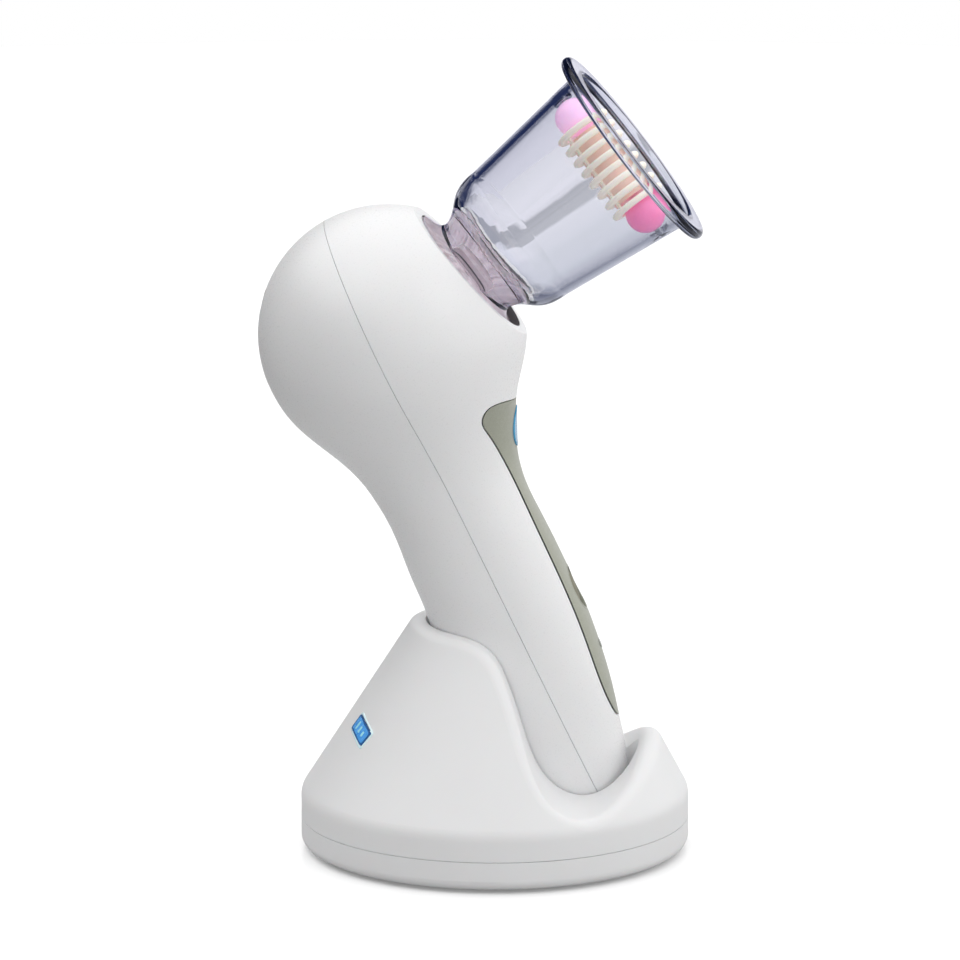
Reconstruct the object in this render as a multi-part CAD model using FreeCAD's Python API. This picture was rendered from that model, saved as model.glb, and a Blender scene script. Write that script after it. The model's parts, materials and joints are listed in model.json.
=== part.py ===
"""Cordless vacuum body massager standing in its charging stand.

Millimetres, +Z up.  The origin is the centre of the round stand, on the surface that its pad lies on.
+X is the way the suction cup leans out.  The object is symmetric about the plane Y = 0, apart from the
roller in the cup, which is turned a little about the cup's axis, and the badge on the stand.
"""
import FreeCAD
import Part
import math
import os
from FreeCAD import Placement, Rotation, Vector

# ---------------------------------------------------------------- driving dimensions
# stand
STAND_R = 62.4            # radius of the round foot of the stand
PAD_R = 50.0              # anti-slip pad let into the underside
PAD_T = 1.8
PAD_PROUD = 1.0           # how far the pad holds the plate off the table
SEAM_Z = 10.6             # joint between base plate and stand shell
SEAM_GAP = 0.12
RIM_Z = 19.0              # top of the stand's upright rim, where the cone starts
CONE_Z = 88.0             # height to which the cone is drawn before the saddle cuts it
CONE_R = 21.9
CONE_X = 3.7              # the cone leans a little towards the cup
STAND_WALL = 2.8
SADDLE_ROUND = 4.0        # rounding where the saddle meets the cone
RIM_ROUND = 7.0           # soft turn from upright rim to cone
PLATE_ROUND = 3.4         # rounding of the base plate's lower edge
FLOOR_TOP = 3.6           # top of the base plate's floor
WELL_GAP = 0.8            # clearance between handset and the stand's well
WELL_WALL = 2.6
STAND_SCREWS = [(30, 42), (30, -42), (-30, 42), (-30, -42)]
SCREW_SEAT = 6.0          # height of the seats under the stand screws' heads
SCREW_LENGTH = 9.0
BADGE_TURN = 24.0         # degrees about the stand from -X towards -Y
BADGE_Z = 43.0
BADGE_LEAN = -17.0        # degrees that the badge is turned on the cone
BADGE_HALF = (2.8, 6.4)   # half its height and half its length

# saddle-shaped cut through the cone: (x, height), the same all the way across
SADDLE = [
    (-46.0, 77.6), (-30.0, 76.9), (-20.5, 74.6), (-9.5, 73.4), (-2.0, 70.0), (3.4, 61.3), (9.7, 42.3),
    (15.6, 29.2), (22.4, 23.4), (30.5, 21.9), (38.6, 25.4), (44.6, 31.6), (49.5, 40.6), (56.0, 53.0),
]

# handset
LEAN = 21.3               # degrees that the grip leans back from upright
HANDSET_BOTTOM = 13.0
END_ROUND = 8.5           # rounding of the grip's lower end
HEAD = Vector(-34.2, 0, 168.3)    # centre of the round head
HEAD_R = 41.4
HEAD_SWELL = 3.0          # how much further the head reaches on the cup's side
NECK_Z = 148.0            # below this height the outline follows GRIP
SHELL_WALL = 2.8
FRONT_WALL = 3.6          # thicker, because the control panel is let into it
PARTING_POINT = Vector(-6.2, 0, 103.7)
PARTING_RISE = 25.6       # degrees that the normal of the parting plane rises above +X
PARTING_GAP = 0.05        # of each shell from the parting plane
PANEL_DEPTH = 1.5         # depth of the recess that holds the control panel
PANEL_T = 1.3
PANEL_GAP = 0.4
SHELL_SCREW_SEAT = -18.0  # seats of the screws' heads, measured from the parting plane
SHELL_SCREWS = {"upper": (-97.0, 26.0), "lower": (8.0, 18.9)}   # place along the parting plane, boss's end

# outline of the grip and neck: height, back, front, half width
GRIP = [
    (13.0, 2.7, 43.4, 20.3),
    (28.0, -3.1, 42.6, 21.2),
    (50.0, -11.7, 38.5, 22.0),
    (75.0, -21.4, 30.9, 22.3),
    (97.0, -30.0, 21.0, 22.4),
    (107.0, -34.2, 16.1, 22.6),
    (117.0, -40.2, 11.1, 23.2),
    (127.0, -49.2, 7.8, 25.2),
    (134.0, -58.0, 6.9, 28.2),
    (141.0, -65.5, 6.7, 32.0),
]

# side edge of the control panel: (x, height), from the top of the front down to the panel's lower tip
PANEL_SIDE = [
    (6.9, 148.3), (1.8, 149.9), (-2.6, 148.6), (-4.3, 144.6), (-2.5, 140.2), (1.2, 133.1),
    (9.7, 114.6), (19.5, 93.4), (28.1, 72.7), (35.1, 53.0), (40.5, 41.4),
]

# cup, with distances measured along its axis from the head's centre
CUP_RISE = 37.8           # degrees that the cup's axis rises above +X
MOUTH_RISE = 42.0         # degrees that the normal of the head's cut face rises
MOUTH_CENTRE = Vector(-7.65, 0, 188.8)
RECESS_R = 23.3
RECESS_FLOOR = 30.0
SOCKET_R = 12.6           # bore that takes the cup's spigot
SPIGOT_R = 12.3
SOCKET_FLOOR = 22.0
CUP_SEAT = 31.4           # face of the socket ring that the cup's skirt rests on
SKIRT_R = 22.6
CUP_WALL = 2.4
BODY_START = 53.8         # start and end of the cup's tapered wall
BODY_START_R = 24.5
BODY_END = 96.4
BODY_END_R = 29.6
FLANGE_R = 35.7
FLANGE_T = 3.8
AIRWAY_R = 9.6

# roller
ROLLER_AT = 89.5          # distance of the roller's axis from the head's centre
ROLLER_TURN = 16.0        # degrees that the roller is turned about the cup's axis
CORE_R = 6.6
KNOB_R = 6.4
KNOB_AT = 19.0
RING_R = 9.4
RING_T = 1.9
RING_PITCH = 4.2
RING_COUNT = 8
BAR_COUNT = 4             # bars along the core that join the rings
BAR_HALF = 0.45
BAR_H = 0.8
AXLE_R = 1.25
AXLE_HALF = 26.9
RUNNING = 0.05            # radial clearance of what turns or slides

# pump, with distances along the cup's axis
MOTOR_AT = -10.0          # the motor's axis crosses the cup's axis at a right angle here
MOTOR_R = 12.2
MOTOR_START = 6.0         # distance of the motor's face from the cup's axis
MOTOR_END = 37.0
THROW = 0.75              # eccentricity of the crank
BEARING_R = 6.5
DECK = 4.0                # start of the pump frame's deck
DIAPHRAGM = 6.0           # start of the diaphragm
MOTOR_SCREW_Y = 8.5
PUMP_SCREW_Y = 19.5
HEAD_SCREWS = [(8.6 * a, 8.6 * b) for a in (-1, 1) for b in (-1, 1)]
VALVE_X = 3.5

# inside the grip, in the frame of GRIP_FRAME
BOARD_X = 13.4
BOARD_T = 1.6
CELL_R = 7.1
CELL_X = -7.0
CELL_Y = 7.35
BUTTON_Z = 50.9           # distance of the power button up the grip
BUTTON_TRAVEL = 0.6
LENS_Z = 30.9
# the main board's holes: distance up the grip, y, and where the front shell's boss for it ends
BOARD_HOLES = [(3.0, 8.0, 20.4), (3.0, -8.0, 20.4), (63.0, 8.0, 22.8), (63.0, -8.0, 22.8)]

# charging contacts and inlet
CONTACT_X = 23.05
CONTACT_Y = 6.0
CONTACT_Z = 13.6          # where the spring pins meet the handset's contact pads
PIN_TRAVEL = 0.8
JACK_Z = 14.3
JACK_R = 3.3
JACK_BORE_R = 2.8
JACK_PIN_R = 1.05
INLET_FACE = -59.3        # outer face of the inlet's body
CHARGE_BOARD_TOP = 6.6
BOARD_POSTS = [(9, 11), (9, -11), (37, 11), (37, -11)]

PARTS = {}


# ---------------------------------------------------------------- helpers
def deg(angle):
    return math.radians(angle)


def fuse(first, *others):
    return first.multiFuse(list(others)) if others else first


def cut(first, *others):
    for other in others:
        first = first.cut(other)
    return first


def spline_through(stations):
    """Natural cubic spline through (position, value) stations, as a function of position."""
    xs = [s[0] for s in stations]
    ys = [s[1] for s in stations]
    n = len(xs)
    h = [xs[i + 1] - xs[i] for i in range(n - 1)]
    low, diag, rhs = [0.0] * n, [1.0] * n, [0.0] * n
    for i in range(1, n - 1):
        low[i] = h[i - 1]
        diag[i] = 2 * (h[i - 1] + h[i])
        rhs[i] = 6 * ((ys[i + 1] - ys[i]) / h[i] - (ys[i] - ys[i - 1]) / h[i - 1])
    for i in range(2, n - 1):
        share = low[i] / diag[i - 1]
        diag[i] -= share * h[i - 1]
        rhs[i] -= share * rhs[i - 1]
    bend = [0.0] * n
    for i in range(n - 2, 0, -1):
        bend[i] = (rhs[i] - h[i] * bend[i + 1]) / diag[i]

    def value(x):
        i = max(0, min(n - 2, next((k for k in range(n - 1) if x < xs[k + 1]), n - 2)))
        a, b = (xs[i + 1] - x) / h[i], (x - xs[i]) / h[i]
        curve = ((a ** 3 - a) * bend[i] + (b ** 3 - b) * bend[i + 1]) * h[i] ** 2 / 6
        return a * ys[i] + b * ys[i + 1] + curve

    return value


def spline_edge(points):
    curve = Part.BSplineCurve()
    curve.interpolate(points)
    return curve.toShape()


def placed(solid, placement):
    if placement:
        solid.Placement = placement.multiply(solid.Placement)
    return solid


def cylinder(radius, start, end, placement=None, x=0.0, y=0.0):
    """Cylinder along the local Z of a placement, from start to end."""
    return placed(Part.makeCylinder(radius, end - start, Vector(x, y, start)), placement)


def tube(outer, inner, start, end, placement=None, x=0.0, y=0.0):
    bore = cylinder(inner, start - 1, end + 1, placement, x, y)
    return cylinder(outer, start, end, placement, x, y).cut(bore)


def box(low, high, placement=None):
    size = [b - a for a, b in zip(low, high)]
    return placed(Part.makeBox(*size, Vector(*low)), placement)


def oval(half_x, half_y, start, end, placement=None, x=0.0, y=0.0):
    """Elliptic cylinder along the local Z of a placement."""
    long_half, short_half = max(half_x, half_y), min(half_x, half_y)
    ellipse = Part.Ellipse(Vector(0, 0, 0), long_half, short_half).toShape()
    face = Part.Face(Part.Wire([ellipse]))
    if half_y > half_x:
        face.rotate(Vector(0, 0, 0), Vector(0, 0, 1), 90)
    face.translate(Vector(x, y, start))
    return placed(face.extrude(Vector(0, 0, end - start)), placement)


def turned(outline, placement=None):
    """Solid of revolution about the local Z.  The outline is a closed run of (radius, distance) points,
    where ("arc", middle, end) is an arc and ("curve", points) is a smooth curve."""
    def at(point):
        return Vector(point[0], 0, point[1])

    edges = []
    here = first = at(outline[0])
    for item in list(outline[1:]) + [outline[0]]:
        if item[0] == "arc":
            edges.append(Part.Arc(here, at(item[1]), at(item[2])).toShape())
            here = at(item[2])
        elif item[0] == "curve":
            edges.append(spline_edge([here] + [at(p) for p in item[1]]))
            here = at(item[1][-1])
        elif here.distanceToPoint(at(item)) > 1e-6:
            edges.append(Part.makeLine(here, at(item)))
            here = at(item)
    assert here.distanceToPoint(first) < 1e-6
    solid = Part.Solid(Part.Face(Part.Wire(edges)).revolve(Vector(0, 0, 0), Vector(0, 0, 1), 360).Shells[0])
    if solid.Volume < 0:
        solid.reverse()
    return placed(solid, placement)


def prism_across(edges, half_width=80.0):
    """Solid of a closed outline in the XZ plane, reaching half_width to each side."""
    face = Part.Face(Part.Wire(edges))
    face.translate(Vector(0, -half_width, 0))
    return face.extrude(Vector(0, 2 * half_width, 0))


def tilted(origin, rise):
    """Frame whose Z rises `rise` degrees above +X, and whose Y is the object's Y."""
    return Placement(origin, Rotation(Vector(0, 1, 0), 90 - rise))


def half_space(origin, rise, offset=0.0, size=300.0):
    """Everything beyond a plane, on the side that its normal points to."""
    return box((-size, -size, offset), (size, size, size), tilted(origin, rise))


def coil(radius, wire_r, start, end, turns, placement=None, x=0.0, y=0.0):
    """Compression spring along the local Z, whose wire stays between start and end."""
    pitch = (end - start - 2.2 * wire_r) / turns
    path = Part.makeLongHelix(pitch, pitch * turns, radius)
    section = Part.Wire([Part.Circle(Vector(radius, 0, 0), Vector(0, 1, 0), wire_r).toShape()])
    solid = Part.Wire(path).makePipeShell([section], True, True)
    solid.translate(Vector(x, y, start + 1.1 * wire_r))
    return placed(solid, placement)


def screw(head_r, head_t, shank_r, length, placement=None, x=0.0, y=0.0, under_head=0.0):
    """Pan head screw whose shank points along +Z from under_head, with a cross recess."""
    head = turned([
        (0, under_head - head_t), (head_r * 0.6, under_head - head_t),
        ("arc", (head_r * 0.9, under_head - head_t * 0.75), (head_r, under_head - head_t * 0.35)),
        (head_r, under_head), (0, under_head)])
    shank = Part.makeCylinder(shank_r, length, Vector(0, 0, under_head))
    tip = Part.makeCone(shank_r, shank_r * 0.3, shank_r, Vector(0, 0, under_head + length))
    slot, depth = head_r * 0.16, head_t * 0.55
    low, high = under_head - head_t - 0.1, under_head - head_t + depth
    arm = head_r * 0.62
    body = cut(fuse(head, shank, tip), box((-arm, -slot, low), (arm, slot, high)),
               box((-slot, -arm, low), (slot, arm, high)))
    body.translate(Vector(x, y, 0))
    return placed(body, placement)


def keep(name, shape):
    """Stores a node after checking that it is one or more closed solids."""
    solids = [s for s in shape.Solids if s.Volume > 0.02]
    shape = solids[0] if len(solids) == 1 else Part.makeCompound(solids)
    if not shape.isValid() or not solids:
        print("NOT VALID", name)
    PARTS[name] = shape
    return shape


CUP_FRAME = tilted(HEAD, CUP_RISE)
CUP_AXIS = CUP_FRAME.Rotation.multVec(Vector(0, 0, 1))
MOTOR_FRAME = tilted(HEAD + CUP_AXIS * MOTOR_AT, CUP_RISE - 90)
PARTING_FRAME = tilted(PARTING_POINT, PARTING_RISE)
GRIP_FRAME = tilted(Vector(19.0, 0, 28.0), 90 + LEAN)
TO_ROLLER = Placement(Vector(0, 0, ROLLER_AT), Rotation(Vector(0, 0, 1), -ROLLER_TURN))
ROLLER_FRAME = CUP_FRAME.multiply(TO_ROLLER).multiply(Placement(Vector(), Rotation(Vector(0, 1, 0), 90)))
BUTTON_FRAME = GRIP_FRAME.multiply(Placement(Vector(0, 0, BUTTON_Z), Rotation(Vector(0, 1, 0), 90)))
LENS_FRAME = GRIP_FRAME.multiply(Placement(Vector(0, 0, LENS_Z), Rotation(Vector(0, 1, 0), 90)))
# a frame at the foot of the grip whose Z points out of the panel, and whose -X runs up the grip
GRIP_X = GRIP_FRAME.multiply(Placement(Vector(), Rotation(Vector(0, 1, 0), 90)))


# ---------------------------------------------------------------- the handset's outer form
def head_radius(z):
    return math.sqrt(max(0.0, HEAD_R ** 2 - (z - HEAD.z) ** 2))


SWELL = 1 + HEAD_SWELL / HEAD_R


def outline_curves():
    """Back, front and half width of the handset as functions of height."""
    above = [NECK_Z, NECK_Z + 7, NECK_Z + 14, NECK_Z + 21]
    front_above = [(150.0, 7.1), (157.0, 8.5)]
    front_above += [(z, HEAD.x + SWELL * head_radius(z)) for z in (HEAD.z, HEAD.z + 6, HEAD.z + 12)]
    back = spline_through([(g[0], g[1]) for g in GRIP] + [(z, HEAD.x - head_radius(z)) for z in above])
    front = spline_through([(g[0], g[2]) for g in GRIP] + front_above)
    width = spline_through([(g[0], g[3]) for g in GRIP] + [(z, head_radius(z)) for z in above])
    return back, front, width


BACK, FRONT, WIDTH = outline_curves()


def level_wall(curve, z):
    """Level thickness of a wall of unit thickness where the outline slopes."""
    step = 0.2
    slope = (curve(z + step) - curve(z - step)) / (2 * step)
    return math.sqrt(1 + slope ** 2)


def level_section(z, back, front, half_width, squareness):
    """Closed smooth section at one height: an ellipse, or a slightly squarer one."""
    middle, depth = (back + front) / 2, (front - back) / 2
    points = []
    count = 20
    for i in range(count):
        angle = 2 * math.pi * i / count
        c, s = math.cos(angle), math.sin(angle)
        x = middle + depth * math.copysign(abs(c) ** (2 / squareness), c)
        y = half_width * math.copysign(abs(s) ** (2 / squareness), s)
        points.append(Vector(x, y, z))
    curve = Part.BSplineCurve()
    curve.interpolate(Points=points, PeriodicFlag=True)
    return Part.Wire([curve.toShape()])


def squareness_at(z):
    share = max(0.0, min(1.0, (NECK_Z - z) / 40.0))
    return 2.0 + 0.22 * share * share * (3 - 2 * share)


def grip_wires(heights, inset, front_inset, room):
    wires = []
    for z in heights:
        back = BACK(z) + inset * level_wall(BACK, z)
        front = FRONT(z) - front_inset * level_wall(FRONT, z) + room(z)
        width = WIDTH(z) - inset * level_wall(WIDTH, z)
        wires.append(level_section(z, back, front, width, squareness_at(z)))
    return wires


def head_wires(inset, front_inset):
    """Sections of the head from the neck's height to its crown, which is a point."""
    radius = HEAD_R - inset
    start = math.degrees(math.asin((NECK_Z - HEAD.z) / HEAD_R))
    crown, steps = 84.0, 13
    wires = []
    for i in range(steps + 1):
        angle = deg(start + (crown - start) * i / steps)
        z = HEAD.z + radius * math.sin(angle)
        r = radius * math.cos(angle)
        below = FRONT(z) - front_inset * level_wall(FRONT, z)
        front = HEAD.x + SWELL * r if z > HEAD.z else below
        wires.append(level_section(z, HEAD.x - r, front, r, 2.0))
    return wires + [Part.Vertex(HEAD.x + 0.02, 0, HEAD.z + radius)]


def handset_form(inset, front_inset=None, top=None, room=lambda z: 0.0):
    """The handset's outer form, shrunk by inset (grown, if negative), cut off level at `top`.
    room(z) is extra depth at the front."""
    front_inset = inset if front_inset is None else front_inset
    bottom = HANDSET_BOTTOM + inset
    stations = (20, 28, 38, 50, 63, 75, 86, 97, 107, 117, 124, 130, 136, 142)
    heights = [bottom] + [z for z in stations if z > bottom and (not top or z < top - 4)]
    if top:
        heights.append(top)
    wires = grip_wires(heights, inset, front_inset, room)
    if not top:
        wires += head_wires(inset, front_inset)
    solid = Part.makeLoft(wires, True, False)
    lower = [e for e in solid.Edges if abs(e.BoundBox.ZMax - bottom) < 0.01 and e.BoundBox.ZLength < 0.02]
    return solid.makeFillet(END_ROUND - inset, lower)


# ---------------------------------------------------------------- stand
def cone_form(inset, start_r, start_z):
    lower = Part.Wire([Part.Circle(Vector(0, 0, start_z), Vector(0, 0, 1), start_r).toShape()])
    upper = Part.Wire([Part.Circle(Vector(CONE_X, 0, CONE_Z), Vector(0, 0, 1), CONE_R - inset).toShape()])
    return Part.makeLoft([lower, upper], True, True)


def stand_form():
    """The stand's shell as one solid before the saddle is cut."""
    solid = fuse(cylinder(STAND_R, SEAM_Z, RIM_Z), cone_form(0, STAND_R, RIM_Z))
    rim = [e for e in solid.Edges if e.BoundBox.ZLength < 0.01 and abs(e.BoundBox.ZMax - RIM_Z) < 0.01]
    return solid.makeFillet(RIM_ROUND, rim)


def above_saddle(drop):
    """Everything above the saddle surface lowered by drop."""
    curve = spline_edge([Vector(x, 0, z - drop) for x, z in SADDLE])
    first, last = Vector(SADDLE[0][0], 0, SADDLE[0][1] - drop), Vector(SADDLE[-1][0], 0, SADDLE[-1][1] - drop)
    top = 140.0
    over_last, over_first = Vector(last.x, 0, top), Vector(first.x, 0, top)
    frame = Part.makePolygon([last, over_last, over_first, first]).Edges
    return prism_across([curve] + frame)


def well_room(z):
    """Room at the front of the well, which lets its front wall stand nearly upright."""
    return 5.0 * max(0.0, min(1.0, (z - 20.0) / 20.0))


def saddle_edges(solid):
    """Edges where the saddle surface meets the cone."""
    found = []
    for edge in solid.Edges:
        mid = edge.valueAt((edge.FirstParameter + edge.LastParameter) / 2)
        if mid.z > 21.5 and abs(mid.y) > 0.5 and edge.Length > 8:
            found.append(edge)
    return found


def stand_shell():
    outer = stand_form().cut(above_saddle(0))
    outer = outer.makeFillet(SADDLE_ROUND, saddle_edges(outer))
    inner_r = STAND_R - STAND_WALL
    shoulder = RIM_Z - 1.6
    hollow = fuse(cylinder(inner_r, SEAM_Z - 1, shoulder), cone_form(STAND_WALL + 0.1, inner_r, shoulder))
    bosses = [tube(3.8, 1.5, SEAM_Z, 26.0, x=x, y=y) for x, y in STAND_SCREWS]
    hollow = cut(hollow, above_saddle(4.6), *bosses)
    hollow = cut(hollow, tube(inner_r + 1, inner_r - 2.4, SEAM_Z - 1, SEAM_Z + 1.4))
    hollow = hollow.cut(handset_form(-WELL_GAP - WELL_WALL, top=96, room=well_room))
    solid = cut(outer, hollow, handset_form(-WELL_GAP, top=98, room=well_room))
    solid = fuse(solid, tube(inner_r - 0.2, inner_r - 2.4, 8.0, SEAM_Z + 0.6))
    slot = box((CONTACT_X - 5.2, -10.2, 8), (CONTACT_X + 5.2, 10.2, 13))
    jack_hole = cylinder(JACK_R + 0.1, -70, -55, tilted(Vector(0, 0, JACK_Z), 0))
    inlet_room = box((INLET_FACE - 0.1, -4.7, 7.9), (-50, 4.7, shoulder))
    return cut(solid, slot, jack_hole, inlet_room, badge_prism(0.1).cut(badge_depth(0.5)))


def stand_base_plate():
    plate = cylinder(STAND_R, PAD_PROUD, SEAM_Z - SEAM_GAP)
    lower = [e for e in plate.Edges if abs(e.BoundBox.ZMax - PAD_PROUD) < 0.01 and e.Length > 20]
    plate = plate.makeFillet(PLATE_ROUND, lower)
    plate = plate.cut(cylinder(STAND_R - STAND_WALL, FLOOR_TOP, SEAM_Z + 1))
    top = SEAM_Z - SEAM_GAP
    posts = [cylinder(4.6, FLOOR_TOP - 0.5, top, x=x, y=y) for x, y in STAND_SCREWS]
    posts += [cylinder(2.5, FLOOR_TOP - 0.5, 5.0, x=x, y=y) for x, y in BOARD_POSTS]
    shelf = box((-56.8, -3, FLOOR_TOP - 0.5), (-49.0, 3, JACK_Z - 3.4))
    plate = fuse(plate, shelf, *posts)
    for x, y in STAND_SCREWS:
        plate = cut(plate, cylinder(3.3, 0, SCREW_SEAT, x=x, y=y), cylinder(1.6, 0, 12, x=x, y=y))
    plate = plate.cut(cylinder(PAD_R + 0.15, 0, PAD_T))
    return cut(plate, *[cylinder(1.05, 2.6, 6, x=x, y=y) for x, y in BOARD_POSTS])


def badge_frame():
    """Frame on the cone's surface: Z is its outward normal and Y is level."""
    share = (BADGE_Z - RIM_Z) / (CONE_Z - RIM_Z)
    radius = STAND_R + (CONE_R - STAND_R) * share
    a = deg(BADGE_TURN)
    point = Vector(CONE_X * share - radius * math.cos(a), -radius * math.sin(a), BADGE_Z)
    steep = math.degrees(math.atan2(STAND_R - CONE_R, CONE_Z - RIM_Z))
    turn = Rotation(Vector(0, 0, 1), 180 + BADGE_TURN).multiply(Rotation(Vector(0, 1, 0), 90 - steep))
    return Placement(point, turn)


def badge_prism(grow):
    half_short, half_long = BADGE_HALF[0] + grow, BADGE_HALF[1] + grow
    corner, reach = 0.9, 3.0
    block = box((-half_short, -half_long, -reach), (half_short, half_long, reach))
    upright = [e for e in block.Edges if e.BoundBox.ZLength > reach]
    block = block.makeFillet(corner, upright)
    block.rotate(Vector(0, 0, 0), Vector(0, 0, 1), BADGE_LEAN)
    return placed(block, badge_frame())


def badge_depth(inset):
    return cone_form(inset * 1.15, STAND_R - inset * 1.15, RIM_Z)


def stand():
    keep("stand_shell", stand_shell())
    keep("stand_base_plate", stand_base_plate())
    keep("stand_badge", badge_prism(0).common(badge_depth(-0.35)).cut(badge_depth(0.45)))
    pad = cylinder(PAD_R, 0, PAD_T)
    lower = [e for e in pad.Edges if abs(e.BoundBox.ZMax) < 0.01 and e.Length > 20]
    keep("anti_slip_pad", pad.makeFillet(0.5, lower))
    for i, (x, y) in enumerate(STAND_SCREWS):
        keep(f"stand_screw_{i + 1}", screw(2.9, 2.0, 1.4, SCREW_LENGTH, x=x, y=y, under_head=SCREW_SEAT))


def charging():
    """Inlet, board and sprung contacts in the stand."""
    board = box((5, -14, CHARGE_BOARD_TOP - 1.6), (41, 14, CHARGE_BOARD_TOP))
    keep("charge_board", cut(board, *[cylinder(1.15, 4, 8, x=x, y=y) for x, y in BOARD_POSTS]))
    screws = [placed(screw(1.9, 1.2, 1.0, 2.8, under_head=0), Placement(
        Vector(x, y, CHARGE_BOARD_TOP), Rotation(Vector(1, 0, 0), 180))) for x, y in BOARD_POSTS]
    keep("charge_board_screws", Part.makeCompound(screws))
    block = box((CONTACT_X - 5, -10, CHARGE_BOARD_TOP), (CONTACT_X + 5, 10, HANDSET_BOTTOM))
    for name, y in (("left", CONTACT_Y), ("right", -CONTACT_Y)):
        block = cut(block, cylinder(1.75, 6, 10.7, x=CONTACT_X, y=y),
                    cylinder(1.05, 10, 14, x=CONTACT_X, y=y))
        pin = turned([(0, 9.4), (1.65, 9.4), (1.65, 10.2), (1.0, 10.2), (1.0, CONTACT_Z - 0.5),
                      ("arc", (0.8, CONTACT_Z - 0.15), (0.4, CONTACT_Z)), (0, CONTACT_Z)])
        pin.translate(Vector(CONTACT_X, y, 0))
        keep(f"contact_pin_{name}", pin)
        keep(f"contact_spring_{name}", coil(1.35, 0.17, CHARGE_BOARD_TOP, 9.4, 5, x=CONTACT_X, y=y))
        pad = fuse(cylinder(3.0, CONTACT_Z, 15.0, x=CONTACT_X, y=y),
                   cylinder(0.8, 14.5, 19.0, x=CONTACT_X, y=y))
        keep(f"charge_contact_{name}", pad)
    keep("contact_block", block)
    along = tilted(Vector(0, 0, JACK_Z), 0)
    body = fuse(box((INLET_FACE, -4.5, JACK_Z - 3.4), (-48.0, 4.5, JACK_Z + 3.0)),
                cylinder(JACK_R, -61.2, INLET_FACE + 1, along))
    body = body.cut(cylinder(JACK_BORE_R, -62, -50, along))
    tip = Part.makeSphere(JACK_PIN_R, Vector(-59.8, 0, JACK_Z))
    pin = fuse(cylinder(JACK_PIN_R, -59.8, -49.5, along), tip)
    keep("charge_inlet", fuse(body, pin))


# ---------------------------------------------------------------- handset shells and panel
def panel_prism(inset):
    """Everything in front of the control panel's side edge, moved in by inset."""
    points = [Vector(x, 0, z) for x, z in PANEL_SIDE]
    moved = []
    for i, p in enumerate(points):
        before, after = points[max(i - 1, 0)], points[min(i + 1, len(points) - 1)]
        run = (after - before).normalize()
        moved.append(p + Vector(-run.z, 0, run.x) * inset)
    first, last = moved[0], moved[-1]
    far_up, far_down = first + Vector(60, 0, -17), last + Vector(40, 0, -30)
    beyond = [Vector(90, 0, far_down.z), Vector(90, 0, far_up.z)]
    frame = Part.makePolygon([last, far_down] + beyond + [far_up, first])
    return prism_across([spline_edge(moved)] + frame.Edges, 40)


def button_opening(grow, start, end):
    """Oval through the panel for the power button; long half along the grip."""
    return oval(7.2 + grow, 6.5 + grow, start, end, BUTTON_FRAME)


def front_shell(front, panel_recess):
    """Adds the bosses, the cup's collar and the button's guide to the front half of the skin."""
    mouth = half_space(MOUTH_CENTRE, MOUTH_RISE)
    collar = cylinder(25.6, 27.4, 42, CUP_FRAME)
    guide = cylinder(9.9, 21.0, 25.4, BUTTON_FRAME)
    bosses = [cylinder(3.4, PARTING_GAP, end, PARTING_FRAME, x) for x, end in SHELL_SCREWS.values()]
    bosses += [cylinder(3.2, DECK + 2, 28.5, CUP_FRAME, 0, y) for y in (PUMP_SCREW_Y, -PUMP_SCREW_Y)]
    bosses += [cylinder(2.4, BOARD_X + BOARD_T, end, GRIP_X, -z, y) for z, y, end in BOARD_HOLES]
    solid = fuse(front, collar, guide, *bosses)
    solid = cut(solid, mouth, cylinder(RECESS_R, RECESS_FLOOR, 60, CUP_FRAME),
                cylinder(15.5, 24, 40, CUP_FRAME), panel_recess)
    solid = cut(solid, button_opening(1.3, 22.0, 40), cylinder(2.0, 18, 30, BUTTON_FRAME),
                cylinder(1.7, 14, 40, LENS_FRAME))
    solid = cut(solid, *[cylinder(1.3, -1, end - 3, PARTING_FRAME, x) for x, end in SHELL_SCREWS.values()])
    solid = cut(solid, *[cylinder(1.3, 0, 24, CUP_FRAME, 0, y) for y in (PUMP_SCREW_Y, -PUMP_SCREW_Y)])
    return cut(solid, *[cylinder(0.95, 12, end - 2, GRIP_X, -z, y) for z, y, end in BOARD_HOLES])


def rear_shell(rear):
    """Adds the screw posts to the rear half of the skin and opens it for the charge contacts."""
    bosses = [cylinder(4.4, -23.6, -PARTING_GAP, PARTING_FRAME, x) for x, end in SHELL_SCREWS.values()]
    solid = fuse(rear, *bosses)
    for x, end in SHELL_SCREWS.values():
        solid = cut(solid, cylinder(3.1, -60, SHELL_SCREW_SEAT, PARTING_FRAME, x),
                    cylinder(1.6, -30, 5, PARTING_FRAME, x))
    for y in (CONTACT_Y, -CONTACT_Y):
        solid = cut(solid, cylinder(2.4, 10, 20, x=CONTACT_X, y=y),
                    cylinder(3.1, CONTACT_Z, 20, x=CONTACT_X, y=y))
    return solid


def badge_on_panel(grow):
    """Oval prism through the front of the neck, where the panel's badge sits."""
    return oval(6.5 + grow, 7.2 + grow, -10, 20, tilted(Vector(0, 0, 138.5), 0))


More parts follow.
